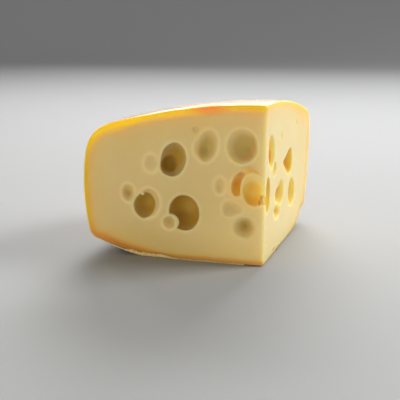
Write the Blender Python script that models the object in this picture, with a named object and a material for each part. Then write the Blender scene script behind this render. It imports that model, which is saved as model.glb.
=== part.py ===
"""A wedge of Maasdam cheese: a little over a quarter of a wheel, cut down to the axis of the wheel.

Metres, +Z up. The large cut face stands in a plane of X and Z and looks along -Y. The small cut face
leaves the sharp corner, which is the wheel's axis, CUT_ANGLE further round. The rind is the curved
back, the crowned top and the underside. The origin is the bottom centre of the bounding box.
"""

import math
from dataclasses import dataclass

import bmesh
import bpy
from mathutils import Matrix, Vector

# Half of the wheel's section as (radius, height), from the rim of the flat that it stands on round to
# its top. The wheel isn't quite even, so each point is given at the large cut face and at the small
# one. Every second point is a corner: the outline bends towards it and doesn't reach it.
SECTION = {
    "foot": ((0.1100, 0.0000), (0.1160, 0.0000)),
    "underside_corner": ((0.1240, 0.0000), (0.1310, 0.0000)),
    "heel_in": ((0.1640, 0.0142), (0.1460, 0.0145)),
    "heel_corner": ((0.1690, 0.0162), (0.1670, 0.0148)),
    "side_low": ((0.1708, 0.0205), (0.1653, 0.0220)),
    "side_corner": ((0.1788, 0.0560), (0.1768, 0.0600)),
    "side_high": ((0.1735, 0.0950), (0.1770, 0.0920)),
    "shoulder_corner": ((0.1700, 0.1200), (0.1772, 0.1210)),
    "shoulder_in": ((0.1505, 0.1270), (0.1580, 0.1265)),
    "crown_corner": ((0.07525, 0.1500), (0.0790, 0.1500)),
    "top": ((0.0, 0.1500), (0.0, 0.1500)),
}
BEND_FACETS = (6, 3, 8, 8, 8)

# The wedge.
CUT_ANGLE = math.radians(98)
TURN_STEPS = 34  # facets of the rind round the wheel


@dataclass(frozen=True)
class Eye:
    """A bubble that a cut has opened, in millimetres, as seen when looking straight at the cut face."""

    out: float  # from the wheel's axis to the middle of the opening
    up: float  # from the bottom to the middle of the opening
    width: float
    height: float
    depth: float
    sink: float = 0.0  # how far the widest part lies behind the cut, as a share of half the bubble
    lean: float = 0.0  # degrees that the top of the oval leans towards the axis
    drift_out: float = 0.0  # how far the deepest point lies away from the middle of the opening
    drift_up: float = 0.0


LARGE_FACE_EYES = {
    "upper_deep": Eye(85.3, 97.0, 22.5, 31.5, 26, sink=0.35, lean=14, drift_out=3, drift_up=-4),
    "lower_deep": Eye(75.5, 46.5, 28.0, 34.0, 28, sink=0.40, drift_out=1.5),
    "lower_deep_side": Eye(90.3, 36.0, 13.0, 13.5, 5, sink=-0.30),
    "rim_deep": Eye(114.0, 51.0, 20.0, 24.5, 22, sink=0.35, lean=10, drift_out=1, drift_up=-1),
    "rim_deep_ring": Eye(108.0, 54.5, 20.0, 26.0, 4.5, sink=-0.50, lean=8),
    "rim_small": Eye(130.0, 63.0, 12.0, 16.5, 5, sink=-0.20, drift_out=1, drift_up=-1.5),
    "upper_faint": Eye(107.0, 92.5, 11.0, 14.0, 1.5, sink=-0.75, lean=10),
    "double_main": Eye(53.5, 111.4, 18.5, 30.0, 9, sink=-0.10, lean=12, drift_out=2, drift_up=-3),
    "double_side": Eye(60.0, 108.5, 11.0, 20.0, 5.5, sink=-0.25, lean=6, drift_out=-1),
    "corner_upper": Eye(22.4, 112.3, 28.0, 30.5, 12, sink=-0.15, drift_out=1.5, drift_up=-2),
    "middle_faint": Eye(41.3, 75.0, 11.5, 18.3, 1.8, sink=-0.75),
    "corner_wide": Eye(17.0, 78.5, 28.0, 33.5, 7, sink=-0.40),
    "corner_inner": Eye(11.2, 72.5, 19.0, 31.0, 17, sink=0.30, lean=-4, drift_out=-1, drift_up=-2),
    "corner_back": Eye(25.3, 78.0, 10.2, 23.0, 24, sink=0.35, lean=16),
    "corner_gap": Eye(0.5, 65.0, 7.0, 7.0, 6),
    "teardrop": Eye(31.5, 53.8, 14.0, 14.5, 3.2, sink=-0.60),
    "teardrop_tail": Eye(25.0, 54.3, 9.5, 8.5, 1.8, sink=-0.70),
    "corner_lower": Eye(18.3, 36.5, 20.5, 20.8, 8.5, sink=-0.15, drift_up=-1.5),
}
SMALL_FACE_EYES = {
    "corner_slot": Eye(7.8, 66.3, 16.0, 34.0, 8, sink=0.10),
    "upper_long": Eye(17.2, 104.5, 19.5, 31.0, 12, sink=0.15, lean=8),
    "upper_long_pocket": Eye(13.5, 100.0, 11.0, 11.0, 16, sink=0.40),
    "slit": Eye(31.5, 85.5, 7.2, 13.3, 5, sink=0.10, lean=-6),
    "arrow": Eye(84.5, 82.8, 23.5, 29.0, 16, sink=0.20, lean=18),
    "arrow_point": Eye(71.5, 87.0, 18.0, 10.5, 8, sink=0.05, lean=-12),
    "lobed": Eye(54.3, 57.6, 15.0, 25.0, 13, sink=0.15, lean=8),
    "lobed_side": Eye(44.5, 58.0, 18.5, 12.5, 7, sink=0.05, lean=-20),
    "rim_round": Eye(96.0, 47.6, 25.5, 32.0, 16, sink=0.15, lean=22),
    "low_oval": Eye(43.0, 41.0, 21.5, 14.0, 9, sink=0.10, lean=-15),
}
MM = 0.001
RIM_FACET = 3.2  # target length of an eye's facets round its opening, in mm
WALL_FACET = 3.6  # and from its opening to its deepest point
CLEARANCE = 1.0  # how far a cutter stands out of the cut face, in mm

PASTE_COLOUR = (0.84, 0.66, 0.33, 1.0)


def bend(start, corner, end, facets):
    """Points of a quadratic curve from start to end, which turns towards corner; start is left out."""
    points = []
    for i in range(1, facets + 1):
        t = i / facets
        shares = ((1 - t) ** 2, 2 * t * (1 - t), t**2)
        points.append(
            tuple(
                sum(share * point[k] for share, point in zip(shares, (start, corner, end)))
                for k in (0, 1)
            )
        )
    return points


def section_outline(share):
    """The section from the axis at the bottom to its top; share is how far round the wedge it lies."""
    points = [
        tuple((1 - share) * large + share * small for large, small in zip(*ends))
        for ends in SECTION.values()
    ]
    outline = [(0.0, 0.0), points[0]]
    for i, facets in enumerate(BEND_FACETS):
        outline += bend(*points[2 * i : 2 * i + 3], facets)
    return outline


def rind_line(step):
    """The section in its place, with the wheel's axis at the origin, after that many steps round."""
    share = step / TURN_STEPS
    turn = Matrix.Rotation(-CUT_ANGLE * share, 3, "Z")
    return [turn @ Vector((-radius, 0.0, height)) for radius, height in section_outline(share)]


def wheel_axis():
    """Where the wheel's axis stands, so that the origin is the bottom centre of the wedge's box."""
    points = [point for step in range(TURN_STEPS + 1) for point in rind_line(step)]
    middle = [(min(point[k] for point in points) + max(point[k] for point in points)) / 2 for k in (0, 1)]
    return Vector((-middle[0], -middle[1], 0.0))


def paste_material():
    material = bpy.data.materials.new("cheese_paste")
    material.use_nodes = True
    shader = material.node_tree.nodes["Principled BSDF"]
    shader.inputs["Base Color"].default_value = PASTE_COLOUR
    shader.inputs["Roughness"].default_value = 0.45
    shader.inputs["Metallic"].default_value = 0.0
    return material


def add_object(name, shape):
    mesh = bpy.data.meshes.new(name)
    shape.to_mesh(mesh)
    shape.free()
    obj = bpy.data.objects.new(name, mesh)
    bpy.context.scene.collection.objects.link(obj)
    return obj


def uncut_wedge():
    """The rind, from section to section round the wheel's axis, closed by the two cut faces."""
    shape = bmesh.new()
    lines = [[shape.verts.new(point) for point in rind_line(step)] for step in range(TURN_STEPS + 1)]
    for line, next_line in zip(lines, lines[1:]):
        for k in range(1, len(line)):
            shape.faces.new((line[k - 1], line[k], next_line[k], next_line[k - 1]))
    shape.faces.new(lines[0])
    shape.faces.new(lines[-1])
    bmesh.ops.remove_doubles(shape, verts=shape.verts, dist=1e-6)
    bmesh.ops.recalc_face_normals(shape, faces=shape.faces)
    wedge = add_object("cheese_wedge", shape)
    wedge.data.materials.append(paste_material())
    wedge.data.shade_smooth()
    wedge.data.set_sharp_from_angle(angle=math.radians(35))
    wedge.location = wheel_axis()
    return wedge


def bubble(eye):
    """The bubble in millimetres: X away from the wheel's axis, Y into the paste, Z up."""
    spread = math.sqrt(1 - eye.sink**2)
    half_width = eye.width / 2 / spread
    half_height = eye.height / 2 / spread
    half_depth = eye.depth / (1 + eye.sink)
    last_turn = math.acos(-(eye.sink * half_depth + CLEARANCE) / half_depth)
    rim_length = math.pi * (eye.width + eye.height) / 2
    wall_length = last_turn * (half_width + half_height + 2 * half_depth) / 4
    segments = min(28, max(12, round(rim_length / RIM_FACET)))
    rings = min(10, max(3, round(wall_length / WALL_FACET)))

    shape = bmesh.new()
    deepest = shape.verts.new((eye.drift_out, eye.depth, eye.drift_up))
    last_ring = None
    for i in range(1, rings + 1):
        turn = last_turn * i / rings
        inward = half_depth * (eye.sink + math.cos(turn))
        drift = max(0.0, inward / eye.depth)
        ring = []
        for k in range(segments):
            round_opening = 2 * math.pi * k / segments
            across = half_width * math.sin(turn) * math.cos(round_opening)
            upward = half_height * math.sin(turn) * math.sin(round_opening)
            ring.append(
                shape.verts.new(
                    (across + drift * eye.drift_out, inward, upward + drift * eye.drift_up)
                )
            )
        for k in range(segments):
            if last_ring is None:
                shape.faces.new((deepest, ring[k - 1], ring[k]))
            else:
                shape.faces.new((last_ring[k - 1], ring[k - 1], ring[k], last_ring[k]))
        last_ring = ring
    shape.faces.new(last_ring)
    bmesh.ops.recalc_face_normals(shape, faces=shape.faces)
    return shape


def eye_cutter(name, eye, face_turn, axis):
    """The bubble in its place. face_turn is how far round the wheel's axis its cut face lies."""
    into_paste = 1.0 if face_turn == 0.0 else -1.0
    shape = bubble(eye)
    place = (
        Matrix.Translation(axis)
        @ Matrix.Rotation(-face_turn, 4, "Z")
        @ Matrix.Translation(Vector((-eye.out, 0.0, eye.up)) * MM)
        @ Matrix.Diagonal((-MM, into_paste * MM, MM, 1.0))
        @ Matrix.Rotation(math.radians(eye.lean), 4, "Y").inverted()
    )
    bmesh.ops.transform(shape, matrix=place, verts=shape.verts)
    bmesh.ops.recalc_face_normals(shape, faces=shape.faces)
    cutter = add_object(name, shape)
    cutter.hide_render = True
    cutter.display_type = "WIRE"
    return cutter


def open_eyes(wedge):
    for face, eyes, face_turn in (
        ("large", LARGE_FACE_EYES, 0.0),
        ("small", SMALL_FACE_EYES, CUT_ANGLE),
    ):
        for eye_name, eye in eyes.items():
            cut = wedge.modifiers.new(eye_name, "BOOLEAN")
            cut.operation = "DIFFERENCE"
            cut.solver = "EXACT"
            cut.object = eye_cutter(f"eye_{face}_{eye_name}", eye, face_turn, wedge.location)


def main():
    for obj in list(bpy.data.objects):
        bpy.data.objects.remove(obj)
    open_eyes(uncut_wedge())


main()
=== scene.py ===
import math

import bmesh
import bpy
from mathutils import Euler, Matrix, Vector


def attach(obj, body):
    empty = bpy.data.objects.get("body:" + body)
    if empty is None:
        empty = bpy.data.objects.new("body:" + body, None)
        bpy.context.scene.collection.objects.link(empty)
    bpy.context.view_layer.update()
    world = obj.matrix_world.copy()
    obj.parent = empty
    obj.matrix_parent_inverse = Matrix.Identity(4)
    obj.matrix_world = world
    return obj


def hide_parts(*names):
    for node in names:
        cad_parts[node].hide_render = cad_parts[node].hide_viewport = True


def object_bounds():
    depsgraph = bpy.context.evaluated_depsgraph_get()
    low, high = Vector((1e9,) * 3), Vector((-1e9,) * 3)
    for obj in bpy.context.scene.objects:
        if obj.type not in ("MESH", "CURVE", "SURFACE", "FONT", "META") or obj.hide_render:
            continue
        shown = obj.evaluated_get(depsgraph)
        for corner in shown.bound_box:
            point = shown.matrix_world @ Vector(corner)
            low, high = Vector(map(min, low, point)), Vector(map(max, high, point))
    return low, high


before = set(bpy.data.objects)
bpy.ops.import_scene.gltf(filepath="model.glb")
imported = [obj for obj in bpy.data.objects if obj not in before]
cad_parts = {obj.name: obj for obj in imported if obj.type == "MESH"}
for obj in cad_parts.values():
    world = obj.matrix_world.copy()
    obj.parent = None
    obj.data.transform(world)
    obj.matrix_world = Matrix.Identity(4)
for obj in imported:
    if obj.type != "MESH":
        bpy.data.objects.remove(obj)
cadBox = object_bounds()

mm = 0.001
cadLow, cadHigh = Vector(cadBox[0]), Vector(cadBox[1])
cutAngle = math.radians(98)  # from the large cut face round the wheel's axis to the small one

# Half of the wheel's section in mm, as (radius, height), at the large cut and at the small one: the
# wheel isn't quite even. Every second point is a corner that the outline bends towards.
section = {
    "foot": ((110.0, 0.0), (116.0, 0.0)),
    "undersideCorner": ((124.0, 0.0), (131.0, 0.0)),
    "heelIn": ((164.0, 14.2), (146.0, 14.5)),
    "heelCorner": ((169.0, 16.2), (167.0, 14.8)),
    "sideLow": ((170.8, 20.5), (165.3, 22.0)),
    "sideCorner": ((178.8, 56.0), (176.8, 60.0)),
    "sideHigh": ((173.5, 95.0), (177.0, 92.0)),
    "shoulderCorner": ((170.0, 120.0), (177.2, 121.0)),
    "shoulderIn": ((150.5, 127.0), (158.0, 126.5)),
    "crownCorner": ((75.25, 150.0), (79.0, 150.0)),
    "top": ((0.0, 150.0), (0.0, 150.0)),
}
sideSteps = 8  # facets of the CAD's side, which is widest at one of their corners
sideAtLargeCut = [section[name][0][0] for name in ("sideLow", "sideCorner", "sideHigh")]
widest = max(
    (1 - t) ** 2 * sideAtLargeCut[0] + 2 * t * (1 - t) * sideAtLargeCut[1] + t ** 2 * sideAtLargeCut[2]
    for t in (i / sideSteps for i in range(sideSteps + 1)))
axisFoot = Vector((cadLow.x / mm + widest, cadLow.y / mm, 0.0))  # the foot of the wheel's axis, in mm

# Bubbles in mm and degrees, on their own cut face: out from the axis, up, width, height and depth of
# what is open, sink of the middle behind the cut as a share of half the bubble, lean of the top to
# the axis, how far the deepest point has drifted out and up, taper towards the axis, bluntness from 1,
# a cone, to 2, round, and how softly the lip is rounded.
largeFaceHazes = {  # shallow marks that the paint doesn't take for eyes
    "nick": (63.8, 125.3, 6.0, 5.0, 1.6, 0.0, 0, 0, 0, 0.0, 2.0, 1.6),
    "cornerWide": (14.8, 79.8, 25.0, 33.0, 6.5, -0.35, 0, 0, 0, 0.0, 2.0, 1.6),
}
largeFaceHollows = {  # cut before the ledges
    "rimDeepRing": (110.4, 54.0, 21.5, 27.5, 5.2, -0.35, 8, 0, 0, 0.0, 2.0, 1.6),
    "upperDeep": (85.3, 97.0, 22.3, 31.0, 23, 0.35, 14, 3, -4, 0.0, 2.0, 1.6),
    "upperDeepPocket": (91.2, 89.8, 10.5, 11.5, 31, 0.72, 10, 5, -3, 0.0, 2.0, 5.0),
    "lowerDeep": (75.5, 46.5, 28.0, 33.5, 26, 0.40, 0, 1.5, 0, 0.0, 2.0, 1.6),
    "rimDeep": (114.8, 51.0, 18.8, 23.5, 20, 0.35, 10, 1, -1, 0.0, 2.0, 1.6),
    "cornerBack": (24.4, 77.2, 12.4, 22.5, 14, 0.15, 16, 0, 0, 0.0, 2.0, 1.6),
}
largeFaceLedges = {  # paste that stands in the hollows, level with the cut
    "cornerRing": (10.9, 72.0, 24.8, 34.6, 15, 0.0, -4, 0, 0, 0.0, 2.0, 2.6),
    "beak": (88.2, 37.0, 16.0, 16.0, 7, 0.0, 0, 0, 0, 0.0, 2.0, 1.6),
    "rimTooth": (115.9, 62.4, 3.4, 3.6, 4, 0.0, 0, 0, 0, 0.0, 2.0, 1.2),
}
largeFaceDishes = {  # cut after them
    "cornerInner": (10.8, 71.6, 19.0, 28.5, 10, 0.05, -4, 2, -1, 0.0, 1.8, 2.0),
    "cornerGap": (1.6, 63.0, 9.5, 6.4, 8.0, 0.0, 20, 0, 0, 0.0, 2.0, 0.9),
    "lowerDeepSide": (90.3, 36.0, 11.5, 12.0, 6, -0.1, 0, 0, 0, 0.0, 1.6, 2.4),
    "rimSmall": (130.0, 63.0, 12.0, 17.0, 8, 0.0, 0, 1.5, -2.5, 0.0, 1.1, 2.6),
    "upperFaint": (107.0, 92.5, 11.5, 14.5, 2.2, -0.75, 10, 0, 0, 0.0, 2.0, 3.0),
    "doubleMain": (53.5, 111.4, 18.5, 30.0, 12.5, 0.0, 14, 2.0, -6.0, 0.0, 1.15, 2.4),
    "doubleSide": (60.5, 109.0, 11.0, 19.0, 5.0, -0.2, 6, -1, 0, 0.0, 1.4, 3.0),
    "cornerUpper": (22.0, 112.3, 27.5, 31.0, 16, 0.0, 0, -4.0, -5.0, 0.0, 1.2, 2.2),
    "middleFaint": (41.3, 75.0, 12.5, 18.3, 3.2, -0.70, 0, 1.5, -2, 0.0, 1.5, 2.6),
    "teardrop": (29.5, 53.8, 20.0, 14.0, 4.4, -0.15, 0, 2, -1.5, 0.55, 1.4, 2.6),
    "cornerLower": (18.3, 36.5, 20.5, 21.0, 12.5, 0.0, 0, 0.5, -1.0, 0.0, 1.05, 3.2),
}
smallFaceHollows = {
    "cornerSlot": (9.9, 66.3, 13.8, 34.0, 4.3, 0.10, 0, 0, 0, 0.0, 2.0, 1.2),
    "upperLong": (18.6, 104.5, 18.0, 31.0, 11, 0.15, 8, 0, 0, 0.0, 2.0, 1.6),
    "upperLongPocket": (24.8, 98.5, 3.4, 5.0, 12.5, 0.90, 0, 0, 0, 0.0, 2.0, 1.5),
    "slit": (31.5, 85.5, 10.0, 14.0, 6, 0.10, -6, 0, 0, 0.0, 2.0, 1.4),
    "arrow": (78.5, 83.5, 35.0, 21.0, 14, 0.15, -9, 0, 0, 0.85, 2.0, 1.2),
    "arrowBack": (88.5, 82.0, 17.0, 26.0, 14, 0.15, 16, 0, 0, 0.0, 2.0, 1.2),
    "lobed": (56.0, 57.6, 19.0, 25.0, 13, 0.15, 8, 0, 0, 0.0, 2.0, 1.6),
    "lobedSide": (46.0, 57.0, 19.0, 14.5, 7, 0.05, -20, 0, 0, 0.0, 2.0, 4.0),
    "rimRound": (99.5, 46.8, 25.5, 30.5, 16, 0.15, 22, 0, 0, 0.0, 2.0, 1.6),
    "lowOval": (43.0, 41.0, 21.5, 14.0, 9, 0.10, -15, 0, 0, 0.0, 2.0, 1.6),
    "rimNick": (112.5, 117.7, 4.5, 6.0, 2.0, 0.0, 0, 0, 0, 0.0, 2.0, 1.2),
    "upperNick": (52.2, 114.0, 4.5, 8.5, 2.0, 0.0, 0, 0, 0, 0.0, 2.0, 1.2),
    "pinhole": (9.2, 20.4, 3.6, 4.3, 2.5, 0.2, 0, 0, 0, 0.0, 2.0, 1.2),
}


class Wire:  # an output socket that works in sums like a number, a vector or a colour
    def __init__(self, desk, socket):
        self.desk, self.socket = desk, socket

    def __getitem__(self, name):
        return Wire(self.desk, self.socket.node.outputs[name])

    def isVector(self):
        return self.socket.type in ("VECTOR", "RGBA")

    def sum(self, operation, first, second):
        if any(isinstance(side, Wire) and side.isVector() for side in (first, second)):
            first, second = (
                side if isinstance(side, (Wire, tuple)) else (side,) * 3 for side in (first, second))
            return self.desk.vector(operation, first, second)
        return self.desk.math(operation, first, second)

    def __add__(self, other):
        return self.sum("ADD", self, other)

    def __radd__(self, other):
        return self.sum("ADD", other, self)

    def __sub__(self, other):
        return self.sum("SUBTRACT", self, other)

    def __rsub__(self, other):
        return self.sum("SUBTRACT", other, self)

    def __mul__(self, other):
        return self.sum("MULTIPLY", self, other)

    def __rmul__(self, other):
        return self.sum("MULTIPLY", other, self)

    def __truediv__(self, other):
        return self.sum("DIVIDE", self, other)

    def __rtruediv__(self, other):
        return self.sum("DIVIDE", other, self)

    def __neg__(self):
        return self * -1.0


class Desk:  # a node tree that is laid out one node at a time
    def __init__(self, tree):
        self.tree = tree

    def add(self, kind, settings={}, values={}):
        node = self.tree.nodes.new(kind)
        for name, value in settings.items():
            setattr(node, name, value)
        for name, value in values.items():
            if isinstance(value, Wire):
                self.tree.links.new(value.socket, node.inputs[name])
            else:
                node.inputs[name].default_value = value
        return Wire(self, node.outputs[0])

    def math(self, operation, *values):
        return self.add("ShaderNodeMath", {"operation": operation}, dict(enumerate(values)))

    def vector(self, operation, *values):
        return self.add("ShaderNodeVectorMath", {"operation": operation}, dict(enumerate(values)))

    def combine(self, x, y, z):
        return self.add("ShaderNodeCombineXYZ", {}, {"X": x, "Y": y, "Z": z})

    def ramp(self, value, low, high, start=0.0, end=1.0):  # eases from start at low to end at high
        return self.add("ShaderNodeMapRange", {"interpolation_type": "SMOOTHSTEP"}, {
            "Value": value, "From Min": low, "From Max": high, "To Min": start, "To Max": end})

    def mix(self, share, first, second):  # colours
        node = self.add("ShaderNodeMix", {"data_type": "RGBA"}, {0: share, 6: first, 7: second})
        return Wire(self, node.socket.node.outputs[2])

    def noise(self, place, size, seed, detail=2.0, roughness=0.5):  # -1 to 1, size in mm
        noise = self.add("ShaderNodeTexNoise", {"noise_dimensions": "4D"}, {
            "Vector": place, "W": seed, "Scale": 1 / size, "Detail": detail, "Roughness": roughness})
        return noise * 2.0 - 1.0


def numbers(values):  # a piece's values as inputs of its tree
    kinds = {int: "Int", float: "Float"}
    return {name: (kinds[type(value)], value) for name, value in values.items()}


def newTree(name, inputs, outputs):  # inputs as name: (kind, value), outputs as name: kind
    tree = bpy.data.node_groups.new(name, "GeometryNodeTree")
    for label, (kind, value) in inputs.items():
        socket = tree.interface.new_socket(label, in_out="INPUT", socket_type="NodeSocket" + kind)
        if value is not None:
            socket.default_value = value
    for label, kind in outputs.items():
        tree.interface.new_socket(label, in_out="OUTPUT", socket_type="NodeSocket" + kind)
    desk = Desk(tree)
    return desk, desk.add("NodeGroupInput"), tree.nodes.new("NodeGroupOutput")


def hand(desk, result, outputs):  # joins what a tree has worked out to its outputs
    for label, wire in outputs.items():
        desk.tree.links.new(wire.socket, result.inputs[label])


def grow(name, tree, values):  # runs a tree and keeps what it makes as a plain mesh
    holder = bpy.data.objects.new(name, bpy.data.meshes.new(name + "Start"))
    bpy.context.scene.collection.objects.link(holder)
    modifier = holder.modifiers.new("form", "NODES")
    modifier.node_group = tree
    for item in tree.interface.items_tree:
        if item.in_out == "INPUT" and item.name in values:
            modifier[item.identifier] = values[item.name]
    evaluated = holder.evaluated_get(bpy.context.evaluated_depsgraph_get())
    mesh = bpy.data.meshes.new_from_object(evaluated)
    holder.modifiers.remove(modifier)
    holder.data = mesh
    mesh.name = name
    print(name, "has", len(mesh.vertices), "points and", len(mesh.polygons), "faces")
    return holder


def boxed(desk, form):  # moves points that stand out of the CAD's box onto it
    position = desk.add("GeometryNodeInputPosition")
    inside = desk.vector("MAXIMUM", desk.vector("MINIMUM", position, cadHigh), cadLow)
    return desk.add("GeometryNodeSetPosition", {}, {"Geometry": form, "Position": inside})


def finished(desk, form, material):  # one mesh of its own, in its material
    form = desk.add("GeometryNodeRealizeInstances", {}, {"Geometry": form})
    return desk.add("GeometryNodeSetMaterial", {}, {"Geometry": form, "Material": material})


def makeBubbleTree():
    # How far a point lies outside a bubble that leans and drifts, in mm.
    narrowest = 0.12  # share of its height that a tapered bubble keeps at its point
    tiny = 1e-6
    names = ("Out", "Up", "Width", "Height", "Depth", "Sink", "Lean", "Drift Out", "Drift Up", "Taper",
             "Bluntness")
    desk, given, result = newTree(
        "openedBubble", {"At": ("Vector", None), **numbers(dict.fromkeys(names, 0.0))},
        {"Outside": "Float"})
    at = desk.add("ShaderNodeSeparateXYZ", {}, {0: given["At"]})
    inward = at["Y"]
    halfDepth = given["Depth"] / (1.0 + given["Sink"])
    spread = desk.math("SQRT", 1.0 - given["Sink"] * given["Sink"])
    sideways, upward = at["X"] - given["Out"], at["Z"] - given["Up"]
    cosine, sine = desk.math("COSINE", given["Lean"]), desk.math("SINE", given["Lean"])
    drift = desk.math("MAXIMUM", inward / given["Depth"], 0.0)
    across = sideways * cosine + upward * sine - drift * given["Drift Out"]
    along = upward * cosine - sideways * sine - drift * given["Drift Up"]
    halfWidth = given["Width"] * 0.5 / spread
    widening = desk.math("MAXIMUM", 1.0 + given["Taper"] * across / halfWidth, narrowest)
    halfHeight = given["Height"] * 0.5 / spread * widening
    halfSizes = desk.combine(halfWidth, halfDepth, halfHeight)
    share = desk.combine(across, inward - given["Sink"] * halfDepth, along) / halfSizes
    onFace = desk.vector("LENGTH", share * (1.0, 0.0, 1.0))["Value"]
    behindFace = desk.vector("LENGTH", share * (0.0, 1.0, 0.0))["Value"]
    blunt = given["Bluntness"]
    powers = desk.math("POWER", onFace, blunt) + desk.math("POWER", behindFace, blunt)
    length = desk.math("POWER", powers, 1.0 / blunt)
    steepness = desk.vector("LENGTH", share / halfSizes)["Value"]
    hand(desk, result, {"Outside": length * (length - 1.0) / desk.math("MAXIMUM", steepness, tiny)})
    return desk.tree


cheese = {
    "Grain": 1.32,  # mm between the mesh's points
    "Cut Edge": 4.6,  # mm over which the edge between the cut faces is rounded
    "Low Rind Edge": 2.6,  # and the edges of the rind, at the foot
    "High Rind Edge": 5.4,  # and at the top
    "Skin": 0.08,  # mm that every face lies inside the uncut outline
    "Burr Room": 1.5,  # mm that the large cut steps back over the burr at its foot
    "Ripple": 0.35,  # mm of unevenness in the faces
    "Uneven Eyes": 0.5,  # mm
    "Ledge Foot": 1.0,  # mm over which a ledge rises from its hollow
}
ruleSizes = {name: value for name, value in cheese.items() if name != "Grain"}
cheeseMarks = {  # what the rule says of a point, and the name that the paint reads it by
    "Under Rind": "underRind", "Under Cut": "underCut", "From Eye": "fromEye", "Small Side": "smallSide"}


def makeCheeseTree(bubbleTree):
    # How far a point lies outside the cheese, in mm, and where it lies in it. At is in mm from the
    # foot of the wheel's axis.
    desk, given, result = newTree(
        "cheeseRule",
        {"At": ("Vector", None), "Large Section": ("Geometry", None),
         "Small Section": ("Geometry", None), **numbers(ruleSizes)},
        {name: "Float" for name in ("Outside", *cheeseMarks)})
    at = given["At"]
    part = desk.add("ShaderNodeSeparateXYZ", {}, {0: at})

    def unevenness(size, seed):  # 0 to 1
        return desk.noise(at, size, seed) * 0.5 + 0.5

    radius = desk.math("SQRT", part["X"] * part["X"] + part["Y"] * part["Y"])
    turned = desk.math("ARCTAN2", part["Y"], -part["X"])
    share = desk.math("MAXIMUM", desk.math("MINIMUM", turned / cutAngle, 1.0), 0.0)
    flat = desk.combine(radius, 0.0, part["Z"])
    heart = (0.0, 0.0, 70.0)  # every part of the outline faces away from it

    def outsideOf(outline):
        nearest = desk.add("GeometryNodeProximity", {"target_element": "EDGES"},
                           {"Geometry": outline, "Sample Position": flat})
        foot = nearest["Position"]
        facing = desk.vector("DOT_PRODUCT", flat - foot, foot - heart)["Value"]
        return nearest["Distance"] * desk.math("SIGN", facing)

    atLarge, atSmall = outsideOf(given["Large Section"]), outsideOf(given["Small Section"])
    wheel = atLarge + (atSmall - atLarge) * share

    smallFacing = (math.sin(cutAngle), math.cos(cutAngle), 0.0)
    smallAlong = (-math.cos(cutAngle), math.sin(cutAngle), 0.0)
    pastSmall = desk.vector("DOT_PRODUCT", at, smallFacing)["Value"]
    pastLarge = -part["Y"]
    burrRoom = (  # near the rind, low down, where the burr is thick
        desk.ramp(wheel, -5.5, -2.5) * desk.ramp(part["Z"], 16, 11)
        * desk.ramp(radius, 84, 102) * desk.ramp(radius, 152, 138))
    steppedBack = burrRoom * given["Burr Room"]
    largeCut = pastLarge + given["Skin"] + unevenness(30, 2.0) * given["Ripple"] + steppedBack
    smallCut = pastSmall + given["Skin"] + unevenness(30, 3.0) * given["Ripple"]
    cuts = desk.math("SMOOTH_MAX", largeCut, smallCut, given["Cut Edge"])
    rind = wheel + given["Skin"] + unevenness(22, 1.0) * given["Ripple"]
    rindEdge = desk.ramp(part["Z"], 30, 110, given["Low Rind Edge"], given["High Rind Edge"])
    body = desk.math("SMOOTH_MAX", rind, cuts, rindEdge)

    onLarge = desk.combine(-part["X"], part["Y"], part["Z"])
    onSmall = desk.combine(desk.vector("DOT_PRODUCT", at, smallAlong)["Value"], -pastSmall, part["Z"])
    wobble = desk.noise(at, 7, 4.0) * given["Uneven Eyes"]

    def bubbles(place, eyes):
        for *form, lip in eyes.values():
            out, up, width, height, depth, sink, lean, driftOut, driftUp, taper, blunt = form
            yield lip, wobble + desk.add("GeometryNodeGroup", {"node_tree": bubbleTree}, {
                "At": place, "Out": out, "Up": up, "Width": width, "Height": height, "Depth": depth,
                "Sink": sink, "Lean": math.radians(lean), "Drift Out": driftOut, "Drift Up": driftUp,
                "Taper": taper, "Bluntness": blunt})

    for lip, bubble in bubbles(onLarge, largeFaceHazes):
        body = desk.math("SMOOTH_MAX", body, -bubble, lip)
    fromEye = 1000.0  # far from any
    for lip, bubble in bubbles(onLarge, largeFaceHollows):
        body = desk.math("SMOOTH_MAX", body, -bubble, lip)
        fromEye = desk.math("MINIMUM", fromEye, bubble)
    for lip, bubble in bubbles(onLarge, largeFaceLedges):
        ledge = desk.math("SMOOTH_MAX", bubble, cuts, lip)
        body = desk.math("SMOOTH_MIN", body, ledge, given["Ledge Foot"])
        fromEye = desk.math("MAXIMUM", fromEye, -bubble)
    for place, eyes in ((onLarge, largeFaceDishes), (onSmall, smallFaceHollows)):
        for lip, bubble in bubbles(place, eyes):
            body = desk.math("SMOOTH_MAX", body, -bubble, lip)
            fromEye = desk.math("MINIMUM", fromEye, bubble)
    underCut = desk.math("MINIMUM", -pastLarge, -pastSmall)
    hand(desk, result, {
        "Outside": body, "Under Rind": -wheel, "Under Cut": underCut, "From Eye": fromEye,
        "Small Side": pastSmall - pastLarge})
    return desk.tree


def sectionOutline(desk, end):  # end 0 is at the large cut, 1 at the small one
    bendSteps = 20
    points = [(0.0, 0.0)] + [ends[end] for ends in section.values()]
    join = desk.tree.nodes.new("GeometryNodeJoinGeometry")
    bends = [(points[0], points[0], points[1])]  # the foot, which is straight
    bends += [points[i:i + 3] for i in range(1, len(points) - 2, 2)]
    for start, corner, finish in bends:
        bend = desk.add("GeometryNodeCurveQuadraticBezier", {}, {
            "Resolution": bendSteps, "Start": (start[0], 0, start[1]),
            "Middle": (corner[0], 0, corner[1]), "End": (finish[0], 0, finish[1])})
        desk.tree.links.new(bend.socket, join.inputs[0])
    return desk.add("GeometryNodeCurveToMesh", {}, {"Curve": Wire(desk, join.outputs[0])})


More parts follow.
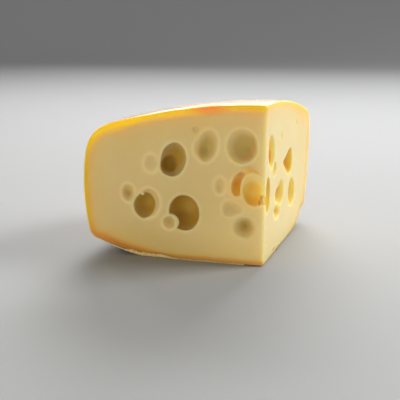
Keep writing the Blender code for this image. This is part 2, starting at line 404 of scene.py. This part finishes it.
def makeWedge(material):
    cheeseTree = makeCheeseTree(makeBubbleTree())
    desk, given, result = newTree("cheeseForm", numbers(cheese), {"Geometry": "Geometry"})
    largeOutline, smallOutline = sectionOutline(desk, 0), sectionOutline(desk, 1)
    here = desk.add("GeometryNodeInputPosition") * (1 / mm) - tuple(axisFoot)

    def ruleAt(place):
        return desk.add("GeometryNodeGroup", {"node_tree": cheeseTree}, {
            "At": place, "Large Section": largeOutline, "Small Section": smallOutline,
            **{name: given[name] for name in ruleSizes}})

    margin = Vector((3, 3, 3)) * mm
    low, high = cadLow - margin, cadHigh + margin
    counts = [desk.math("CEIL", (span / mm) / given["Grain"]) for span in high - low]
    block = desk.add("GeometryNodeVolumeCube", {}, {
        "Density": -ruleAt(here), "Background": -10.0, "Min": low, "Max": high,
        "Resolution X": counts[0], "Resolution Y": counts[1], "Resolution Z": counts[2]})
    form = desk.add("GeometryNodeVolumeToMesh", {}, {
        "Volume": block, "Threshold": 0.0, "Adaptivity": 0.0})
    probe = 0.15  # mm
    gentlest = 0.25  # the least that a slope's square counts as
    for step in range(2):  # each step draws the points onto the rule's own surface
        outside = ruleAt(here)
        slope = desk.combine(*(
            (ruleAt(here + tuple(probe if i == axis else 0.0 for i in range(3))) - outside) / probe
            for axis in range(3)))
        steepness = desk.math("MAXIMUM", desk.vector("DOT_PRODUCT", slope, slope)["Value"], gentlest)
        form = desk.add("GeometryNodeSetPosition", {}, {
            "Geometry": form, "Offset": slope * (outside / steepness * -mm)})
    form = boxed(desk, form)
    rule = ruleAt(here)
    for output, name in cheeseMarks.items():
        form = desk.add("GeometryNodeStoreNamedAttribute", {"data_type": "FLOAT", "domain": "POINT"},
                        {"Geometry": form, "Name": name, "Value": rule[output]})
    form = desk.add("GeometryNodeSetShadeSmooth", {}, {"Geometry": form})
    hand(desk, result, {"Geometry": finished(desk, form, material)})
    return grow("cheeseWedge", desk.tree, cheese)


paste = {
    "colours": {
        "cut": (0.88, 0.72, 0.375, 1),
        "mottle": (0.85, 0.67, 0.32, 1),  # patches on it
        # painted highlight on the lips of the eyes
        "lip": (1.0, 0.77, 0.45, 1),
        "ring": (1.0, 0.66, 0.31, 1),  # lips near the corner, where light comes through
        "nearSmall": (1.0, 0.785, 0.38, 1),  # painted glow of light through the paste, on the large cut towards the small one
        "edge": (1.0, 0.81, 0.44, 1),  # painted glow of light through the paste where the cut faces meet
        # painted shade on the walls of the eyes
        "eyeWall": (0.75, 0.59, 0.235, 1),
        "eyePale": (0.80, 0.67, 0.38, 1),  # lighter painted shade, in the upper deep eye
        # painted shade deeper in the eyes
        "eyeDeep": (0.69, 0.465, 0.09, 1),
        "eyeCore": (0.80, 0.60, 0.18, 1),  # painted shade deeper still, lighter than eyeDeep
        "eyeGolden": (1.0, 0.75, 0.19, 1),  # where light comes through from the small face
        "eyeOrange": (0.97, 0.62, 0.08, 1),  # painted light, more orange deeper there and lower down
        "eyeTop": (1.0, 0.79, 0.42, 1),  # painted light, lighter near the top of an eye there
        "smallEye": (1.0, 0.79, 0.33, 1),  # painted light in the eyes of the small face
        # painted shade in the arrow eye
        "arrow": (0.96, 0.68, 0.15, 1),
        # painted shade at the back of the upper long eye
        "pocket": (0.86, 0.54, 0.21, 1),
        # painted shade in the slot beside the corner
        "slot": (0.86, 0.60, 0.05, 1),
        # painted shade in the notch in the vertical edge
        "gap": (0.40, 0.20, 0.03, 1),
        "nearRind": (0.90, 0.68, 0.24, 1),
        "skin": (0.86, 0.41, 0.035, 1),
        # painted shade on the skin low down
        "lowSkin": (0.60, 0.30, 0.06, 1),
        "band": (1.0, 0.61, 0.006, 1),
        # painted shade and reddish bounce light on the band low down
        "lowBand": (0.86, 0.38, 0.07, 1),
        "bandEdge": (0.98, 0.58, 0.12, 1),
        # partly an orange stain, partly painted reddish light coming through at the top
        "blush": (0.98, 0.36, 0.07, 1),
    },
    "through": {  # light that comes through the paste
        "band": (0.27, 0.175, 0.0, 1),  # at the top
        "blush": (0.30, 0.085, 0.02, 1),
        "foot": (0.06, 0.045, 0.018, 1),  # low on the large cut, towards the corner
        "lip": (0.035, 0.028, 0.014, 1),
        "ring": (0.12, 0.042, 0.012, 1),  # in the lips near the corner
        "edge": (0.09, 0.035, 0.02, 1),
        "glow": (0.10, 0.072, 0.018, 1),  # in the eyes near the corner
        "smallEye": (0.05, 0.04, 0.02, 1),
    },
    "spots": {  # places that the paste changes near, in mm, and how much each way counts
        "broad": ((-70.0, -88.0, 122.0), (1.0, 1.0, 1.0)),  # the band is broadest
        "blush": ((21.0, -88.0, 149.0), (1.0, 1.0, 2.1)),
        "glow": ((68.0, -84.0, 72.0), (1.0, 1.0, 1.6)),  # the middle of the eyes near the corner
        "arrow": ((86.0, -6.0, 83.0), (1.0, 1.0, 1.0)),  # the middle of the arrow eye
        "pocket": ((72.0, -63.0, 98.5), (1.0, 1.0, 1.0)),  # at the back of the upper long eye
        "slot": ((75.0, -80.0, 65.0), (1.0, 0.9, 0.55)),  # the slot beside the corner
        "gap": ((74.0, -88.0, 62.5), (1.0, 0.7, 0.8)),  # the notch in the vertical edge
    },
    "patches": {  # unevenness of the colour: size in mm and seed
        "cloudy": (28, 1.0),
        "speckle": (1.6, 2.0),
        "patchy": (7, 3.0),
        "swell": (24, 7.0),  # of the band's width
    },
    "bandEnds": (3.0, 7.0, 12.0),  # mm under the rind: full, half gone, gone
    "sheen": {
        "Emission Strength": 1.0,
        "Subsurface Weight": 1.0,
        "Subsurface Radius": (1.0, 0.75, 0.28),
        "Subsurface Scale": 11 * mm,
        "Coat Roughness": 0.22,
    },
}


def newMaterial(name, fixed):  # fixed values are the same all over it
    material = bpy.data.materials.new(name)
    material.use_nodes = True
    shader = material.node_tree.nodes["Principled BSDF"]
    for label, value in fixed.items():
        shader.inputs[label].default_value = value
    print(name, "started")
    return material, shader


def paint(desk, shader, wires):  # joins what varies over a surface to the shader
    for label, wire in wires.items():
        desk.tree.links.new(wire.socket, shader.inputs[label])


def grain(desk, height):  # height in mm
    return desk.add("ShaderNodeBump", {}, {"Strength": 1.0, "Distance": mm, "Height": height})


def makePasteMaterial():
    # The bounds of its ramps are in mm.
    colours, through = paste["colours"], paste["through"]
    spots, patches = paste["spots"], paste["patches"]
    bandFull, bandHalf, bandGone = paste["bandEnds"]
    material, shader = newMaterial("cheesePaste", paste["sheen"])
    desk = Desk(material.node_tree)
    place = desk.add("ShaderNodeTexCoord")["Object"] * (1 / mm)
    parts = desk.add("ShaderNodeSeparateXYZ", {}, {0: place})
    height = parts["Z"]

    def read(name):
        return desk.add("ShaderNodeAttribute", {"attribute_name": name})["Fac"]

    def distanceTo(name):
        middle, counts = spots[name]
        return desk.vector("LENGTH", (place - middle) * counts)["Value"]

    # Where a point lies.
    thickness, underCut, fromEye, smallSide = (read(name) for name in cheeseMarks.values())
    cloudy = desk.noise(place, *patches["cloudy"], detail=3.0)
    speckle = desk.noise(place, *patches["speckle"], detail=3.0)
    patchy = desk.noise(place, *patches["patchy"], detail=3.0) * 0.8
    onSmall = desk.ramp(smallSide, -2, 6)
    low = desk.ramp(height + cloudy * 6, 42, 12)
    toAxis = desk.vector("LENGTH", (place - tuple(axisFoot)) * (1.0, 1.0, 0.0))["Value"]
    inEye = desk.ramp(fromEye, 1.3, -0.3)
    onRind = desk.ramp(thickness + patchy * 0.5, 1.3, 0.5)
    nearCut = desk.ramp(underCut, 9, 2)
    depth = underCut * desk.ramp(thickness, 0.8, 2.5)

    # How much narrower than usual the band under the rind is.
    narrower = 1.0 - desk.ramp(distanceTo("broad"), 46, 16) * 0.2
    narrower = narrower + desk.noise(place, *patches["swell"]) * 0.35
    narrower = narrower + onSmall * desk.ramp(toAxis, 60, 135, 0.5, -0.45)
    narrower = narrower + low * desk.ramp(toAxis, 120, 84, -0.25, 0.15) + onSmall * low * 0.65
    underRind = thickness * narrower + patchy

    # The cut faces and the lips of their eyes, with a painted highlight on the lips, painted light
    # coming through in the lips near the corner, and a painted glow towards the small cut and along the
    # edge between the cuts.
    mottle = desk.ramp(cloudy + speckle * 0.25, -0.7, 0.9)
    colour = desk.mix(mottle, colours["cut"], colours["mottle"])
    # Painted highlight on the lips of the eyes.
    onLip = desk.ramp(fromEye, 4.5, 1.0) * (1.0 - inEye)
    colour = desk.mix(onLip * (0.65 - onSmall * 0.4), colour, colours["lip"])
    toGlow = distanceTo("glow")
    onRing = desk.ramp(fromEye, 4.5, 1.2) * desk.ramp(fromEye, -0.4, 0.8)
    onRing = onRing * desk.ramp(toGlow, 36, 24) * (1.0 - onSmall)
    colour = desk.mix(onRing, colour, colours["ring"])
    # Painted glow towards the small cut.
    colour = desk.mix(desk.ramp(smallSide, -90, -6) * 0.5, colour, colours["nearSmall"])
    # Painted glow along the edge between the cuts.
    edgeGlowShare = desk.ramp(smallSide, -12, -1) * desk.ramp(smallSide, 4, 0) * nearCut * (1.0 - onRind)
    colour = desk.mix(edgeGlowShare * 0.8, colour, colours["edge"])

    # The walls of the eyes: painted light, golden, where light comes through; painted shade elsewhere,
    # which deepens with depth, and painted shade of its own in the pocket, the slot and the notch.
    fromSmall = underCut - desk.math("MINIMUM", smallSide, 0.0)
    glow = desk.math("MAXIMUM", desk.ramp(fromSmall, 13, 3) * 0.4, desk.ramp(toGlow, 36, 20))
    glow = desk.math("MAXIMUM", glow, onSmall)
    orange = desk.math("MAXIMUM", desk.ramp(depth, 6, 13), desk.ramp(height, 72, 60) * (1.0 - onSmall))
    golden = desk.mix(orange, colours["eyeGolden"], colours["eyeOrange"])
    golden = desk.mix(desk.ramp(height, 74, 84) * (1.0 - onSmall) * inEye, golden, colours["eyeTop"])
    golden = desk.mix(onSmall * 0.7, golden, colours["smallEye"])
    # Painted shade in the arrow eye.
    inArrow = desk.ramp(distanceTo("arrow"), 22, 16) * onSmall * inEye
    golden = desk.mix(inArrow, golden, colours["arrow"])
    # Painted shade on the other walls: deeper low down, paler in the upper deep eye.
    shadedLow = desk.ramp(height, 80, 66)
    pale = desk.ramp(parts["X"], 14, 6) * (1.0 - shadedLow)
    plain = desk.mix(pale, colours["eyeWall"], colours["eyePale"])
    plain = desk.mix(desk.ramp(depth + shadedLow * 5.0, 13, 23), plain, colours["eyeDeep"])
    wall = desk.mix(glow, plain, golden)
    onWall = desk.ramp(depth * (1.0 + glow + onSmall * 2.0), 1.6, 8.5)
    colour = desk.mix(onWall, colour, wall)
    # Painted shade in the pocket.
    pocketShade = desk.ramp(distanceTo("pocket"), 8.5, 6.0) * desk.ramp(depth, 2.5, 4.5)
    colour = desk.mix(pocketShade, colour, colours["pocket"])
    # Painted shade in the slot.
    slotShade = desk.ramp(distanceTo("slot") + speckle, 12.0, 8.0) * desk.ramp(smallSide, -1, 3) * inEye
    colour = desk.mix(slotShade, colour, colours["slot"])
    # Painted shade in the notch.
    colour = desk.mix(desk.ramp(distanceTo("gap") + speckle, 6.5, 4.5) * inEye, colour, colours["gap"])
    # Painted shade at the very bottom of the eyes.
    colour = desk.mix(desk.ramp(depth, 22, 33), colour, colours["eyeCore"])
    # Painted glow on the edge above the notch.
    overGap = desk.ramp(height, 65, 69)
    colour = desk.mix(edgeGlowShare * inEye * overGap * 0.8, colour, colours["edge"])

    # The band under the rind, the orange blush at the top and the skin, with painted shade on the band
    # and the skin low down.
    colour = desk.mix(desk.ramp(underRind, 34, 6) * (1.0 - inEye) * 0.4, colour, colours["nearRind"])
    colour = desk.mix(desk.ramp(underRind, bandGone, bandHalf) * 0.38, colour, colours["bandEdge"])
    # Painted shade on the band and the skin low down.
    band = desk.mix(low, colours["band"], colours["lowBand"])
    inBand = desk.ramp(underRind, bandHalf + 1.0, bandFull) * (1.0 - onSmall * 0.45)
    colour = desk.mix(inBand, colour, band)
    # The blush: partly an orange stain, partly painted reddish light coming through.
    blushing = desk.ramp(distanceTo("blush") + cloudy * 3.0, 27, 7)
    colour = desk.mix(blushing, colour, colours["blush"])
    skin = desk.mix(low, colours["skin"], colours["lowSkin"])
    colour = desk.mix(onRind, colour, skin)

    # Light that comes through.
    crown = desk.ramp(height + cloudy * 8.0, 84, 124) * desk.ramp(height, 134, 148, 1.0, 0.45)
    crown = crown * (1.0 - onSmall)
    litBand = desk.ramp(underRind, bandHalf + 2.0, bandFull - 1.0) * crown * nearCut
    lit = desk.mix(litBand, (0, 0, 0, 1), desk.mix(blushing, through["band"], through["blush"]))
    footShare = desk.ramp(smallSide, -95, -15) * desk.ramp(height, 66, 30) * (1.0 - onSmall)
    lit = desk.mix(footShare * nearCut * (1.0 - onRind) * (1.0 - inEye), lit, through["foot"])
    lit = desk.mix(onLip * (1.0 - onSmall) * (1.0 - litBand), lit, through["lip"])
    lit = desk.mix(onRing, lit, through["ring"])
    litEdge = edgeGlowShare * desk.ramp(smallSide, -5, -1) * (1.0 - inEye * (1.0 - overGap))
    lit = desk.mix(litEdge * (1.0 - litBand), lit, through["edge"])
    inGlow = desk.ramp(toGlow, 38, 22) * desk.ramp(height, 72, 80) * (1.0 - onSmall)
    inGlow = inGlow * desk.ramp(depth, 0.6, 2.2) * desk.ramp(depth, 8.5, 5.5)
    lit = desk.mix(inGlow, lit, through["glow"])
    lit = desk.mix(onSmall * inEye * (1.0 - onRind) * (1.0 - inArrow), lit, through["smallEye"])

    roughness = 0.42 - onRind * (0.14 - blushing * 0.4) + inEye * 0.08 + speckle * 0.05 + cloudy * 0.04
    coat = onRind * (1.0 - blushing * 0.8) * 0.8
    rough = speckle * 0.03 + desk.noise(place, 0.7, 5.0) * 0.012 + desk.noise(place, 5, 6.0) * 0.10
    paint(desk, shader, {
        "Base Color": colour, "Emission Color": lit, "Roughness": roughness, "Coat Weight": coat,
        "Normal": grain(desk, rough)})
    return material


burr = {
    "Start": 18.0,  # mm from the wheel's axis
    "Step": 0.45,
    "Points": 294,
    "Facets": 14,  # round it
    "Thin": 0.45,  # mm from its middle to its skin
    "Thick": 1.75,
    "Swells From": 84.0,  # mm from the wheel's axis
    "Swells To": 100.0,
    "Shrinks From": 125.0,
    "Shrinks To": 139.0,
    "Frill": 0.8,
    "Seed": 3.0,
}


def makeBurr(material):
    # A frayed roll of rind along the foot of the large cut.
    desk, given, result = newTree("burrForm", numbers(burr), {"Geometry": "Geometry"})
    out = desk.add("GeometryNodeInputIndex") * given["Step"] + given["Start"]
    # The bend of the underside, solved for how high it is so far out.
    foot, corner, heel = (section[name][0] for name in ("foot", "undersideCorner", "heelIn"))
    first, second = 2 * (corner[0] - foot[0]), foot[0] - 2 * corner[0] + heel[0]
    past = desk.math("MAXIMUM", out - foot[0], 0.0)
    share = (desk.math("SQRT", past * (4 * second) + first ** 2) - first) / (2 * second)
    underside = share * share * heel[1]
    thick = desk.ramp(out, given["Swells From"], given["Swells To"])
    thick = thick * desk.ramp(out, given["Shrinks To"], given["Shrinks From"])
    lumps = desk.noise(desk.combine(out, 0.0, 0.0), 5, given["Seed"], detail=3.0) * 0.4 + 1.0
    half = (given["Thin"] + (given["Thick"] - given["Thin"]) * thick) * lumps
    lifted = desk.math("MAXIMUM", underside + half * 0.5, half)
    middle = desk.combine(float(axisFoot.x) - out, half * 0.9 + float(axisFoot.y), lifted)
    line = desk.add("GeometryNodeMeshLine", {}, {"Count": given["Points"]})
    line = desk.add("GeometryNodeMeshToCurve", {}, {"Mesh": line})
    line = desk.add("GeometryNodeSetPosition", {}, {"Geometry": line, "Position": middle * mm})
    ring = desk.add("GeometryNodeCurvePrimitiveCircle", {}, {
        "Resolution": given["Facets"], "Radius": mm})
    roll = desk.add("GeometryNodeCurveToMesh", {}, {
        "Curve": line, "Profile Curve": ring, "Scale": half, "Fill Caps": True})
    position, normal = desk.add("GeometryNodeInputPosition"), desk.add("GeometryNodeInputNormal")
    fray = desk.noise(position * (1 / mm), 1.3, given["Seed"] + 1.0, detail=3.0, roughness=0.7)
    roll = desk.add("GeometryNodeSetPosition", {}, {
        "Geometry": roll, "Offset": normal * (fray * given["Frill"] * mm)})
    roll = desk.add("GeometryNodeSetShadeSmooth", {}, {"Geometry": boxed(desk, roll)})
    hand(desk, result, {"Geometry": finished(desk, roll, material)})
    return grow("rindBurr", desk.tree, burr)


crumbs = {
    "Count": 26,
    "Smallest": 0.3,  # mm
    "Largest": 0.55,
    "Start": 3.0,  # mm along the foot of the small cut, from the wheel's axis
    "Reach": 62.0,
    "Lowest": 0.9,  # mm up
    "Rise": 6.0,
    "Stand Off": 0.05,  # mm that its middle lies off the small cut
    "Wide": 1.0,  # times its size
    "Thick": 0.7,
    "Tall": 1.3,
    "Turn": 6.0,  # radians, at most
    "Roughness": 0.2,  # mm
}


def makeCrumbs(material):
    # Dark crumbs that stick to the small cut, just over its foot.
    desk, given, result = newTree("crumbForm", numbers(crumbs), {"Geometry": "Geometry"})

    def random(seed):  # 0 to 1
        return desk.add("FunctionNodeRandomValue", {"data_type": "FLOAT"}, {"Seed": seed})[1]

    out = given["Start"] + random(11) * given["Reach"]
    up = given["Lowest"] + random(12) * random(13) * given["Rise"]
    along, facing = (-math.cos(cutAngle), math.sin(cutAngle)), (math.sin(cutAngle), math.cos(cutAngle))
    start = [given["Stand Off"] * facing[i] + axisFoot[i] for i in range(2)]
    place = desk.combine(out * along[0] + start[0], out * along[1] + start[1], up)
    line = desk.add("GeometryNodeMeshLine", {}, {"Count": given["Count"]})
    line = desk.add("GeometryNodeSetPosition", {}, {"Geometry": line, "Position": place * mm})
    crumb = desk.add("GeometryNodeMeshIcoSphere", {}, {"Radius": mm, "Subdivisions": 2})
    size = given["Smallest"] + random(14) * random(15) * (given["Largest"] - given["Smallest"])
    shape = desk.combine(given["Wide"], given["Thick"], given["Tall"])
    turn = desk.combine(random(16) * given["Turn"], random(17) * given["Turn"], 0.0)
    scatter = desk.add("GeometryNodeInstanceOnPoints", {}, {
        "Points": line, "Instance": crumb, "Rotation": turn, "Scale": size * shape})
    scatter = desk.add("GeometryNodeRealizeInstances", {}, {"Geometry": scatter})
    position, normal = desk.add("GeometryNodeInputPosition"), desk.add("GeometryNodeInputNormal")
    rough = desk.noise(position * (1 / mm), 0.6, 5.0)
    scatter = desk.add("GeometryNodeSetPosition", {}, {
        "Geometry": scatter, "Offset": normal * (rough * given["Roughness"] * mm)})
    hand(desk, result, {"Geometry": finished(desk, scatter, material)})
    return grow("footCrumbs", desk.tree, crumbs)


scraps = {
    "looks": {  # light colour, dark colour, size of the patches in mm
        "burrPaste": ((1.0, 0.88, 0.60, 1), (0.72, 0.50, 0.20, 1), 1.4),
        "crumbBrown": ((0.62, 0.42, 0.20, 1), (0.34, 0.20, 0.08, 1), 0.7),
    },
    "sheen": {
        "Subsurface Weight": 0.6,
        "Subsurface Radius": (1.0, 0.7, 0.3),
        "Subsurface Scale": 1.5 * mm,
    },
}


def makeScrapMaterial(name):
    light, dark, size = scraps["looks"][name]
    material, shader = newMaterial(name, scraps["sheen"])
    desk = Desk(material.node_tree)
    place = desk.add("ShaderNodeTexCoord")["Object"] * (1 / mm)
    patchy = desk.noise(place, size, 1.0, detail=3.0)
    rough = desk.noise(place, size * 0.3, 2.0) * 0.06
    paint(desk, shader, {
        "Base Color": desk.mix(desk.ramp(patchy, -0.5, 0.5), light, dark),
        "Roughness": 0.62 + patchy * 0.12, "Normal": grain(desk, rough)})
    return material


stage = {
    "floorRadius": 2.6,  # m
    "sweepRadius": 1.6,
    "sweepSteps": 16,
    "turnSteps": 96,
    "paper": {
        "Base Color": (0.345, 0.353, 0.365, 1),
        "Roughness": 0.85,
    },
}


def makeStage():
    # A floor that turns up into a low wall all round.
    shape = bmesh.new()
    profile = [Vector((0, 0, 0)), Vector((stage["floorRadius"], 0, 0))]
    for i in range(1, stage["sweepSteps"] + 1):
        turn = math.radians(90) * i / stage["sweepSteps"]
        profile.append(Vector((
            stage["floorRadius"] + stage["sweepRadius"] * math.sin(turn), 0,
            stage["sweepRadius"] * (1 - math.cos(turn)))))
    corners = [shape.verts.new(point) for point in profile]
    edges = [shape.edges.new(pair) for pair in zip(corners, corners[1:])]
    bmesh.ops.spin(shape, geom=corners + edges, cent=(0, 0, 0), axis=(0, 0, 1), angle=math.tau,
                   steps=stage["turnSteps"])
    bmesh.ops.remove_doubles(shape, verts=shape.verts, dist=1e-5)
    bmesh.ops.recalc_face_normals(shape, faces=shape.faces)
    mesh = bpy.data.meshes.new("studioFloor")
    shape.to_mesh(mesh)
    shape.free()
    mesh.shade_smooth()
    floor = bpy.data.objects.new("studioFloor", mesh)
    bpy.context.scene.collection.objects.link(floor)
    mesh.materials.append(newMaterial("palePaper", stage["paper"])[0])
    print("floor laid")


studio = {
    "ambient": (0.64, 0.63, 0.60, 1),
    "ambientStrength": 0.48,
    "aim": (0, 0, 0.07),
    "lamps": {  # place, width and height, power, spread in degrees, colour
        "key": ((2.2, 0.75, 1.9), (1.1, 1.1), 74, 180, (1.0, 0.99, 0.96)),
        "behind": ((-0.2, 2.4, 1.5), (2.4, 1.3), 24, 70, (1.0, 0.99, 0.97)),
        "rim": ((-1.7, 1.5, 1.0), (0.5, 0.9), 1.2, 60, (1.0, 0.98, 0.94)),
        "bounce": ((-0.25, -1.15, 0.14), (0.9, 0.24), 3.4, 180, (1.0, 0.84, 0.46)),
    },
}


def makeLights():
    world = bpy.data.worlds.new("studio")
    bpy.context.scene.world = world
    world.use_nodes = True
    sky = world.node_tree.nodes["Background"]
    sky.inputs["Color"].default_value = studio["ambient"]
    sky.inputs["Strength"].default_value = studio["ambientStrength"]
    for name, (place, (width, height), power, spread, colour) in studio["lamps"].items():
        light = bpy.data.lights.new(name, "AREA")
        light.shape = "RECTANGLE"
        light.size, light.size_y = width, height
        light.energy = power
        light.spread = math.radians(spread)
        light.color = colour
        lamp = bpy.data.objects.new(name, light)
        lamp.location = place
        towards = Vector(studio["aim"]) - Vector(place)
        lamp.rotation_euler = towards.to_track_quat("-Z", "Y").to_euler()
        lamp.visible_camera = False
        bpy.context.scene.collection.objects.link(lamp)
    print("lamps hung")


camera = {
    "fromAxisFoot": (76.9, -557.7, 227.3),  # mm
    "turn": 13.8,  # degrees to the left of the large face's own direction
    "dip": 16.2,  # degrees
    "lens": 58.5,  # mm
    "sensor": 36,  # mm
    "nearest": 0.01,  # m
}


def makeCamera():
    data = bpy.data.cameras.new("camera")
    data.lens = camera["lens"]
    data.sensor_width = camera["sensor"]
    data.clip_start = camera["nearest"]
    view = bpy.data.objects.new("camera", data)
    view.location = (axisFoot + Vector(camera["fromAxisFoot"])) * mm
    view.rotation_euler = Euler((math.radians(90 - camera["dip"]), 0, math.radians(camera["turn"])))
    bpy.context.scene.collection.objects.link(view)
    bpy.context.scene.camera = view
    print("camera set")


makeCamera()
makeLights()
makeStage()
bpy.context.scene.view_settings.view_transform = "Standard"
wedge = makeWedge(makePasteMaterial())
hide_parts("cheese_wedge")
burrRoll = makeBurr(makeScrapMaterial("burrPaste"))
for piece in (wedge, burrRoll, makeCrumbs(makeScrapMaterial("crumbBrown"))):
    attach(piece, "root")
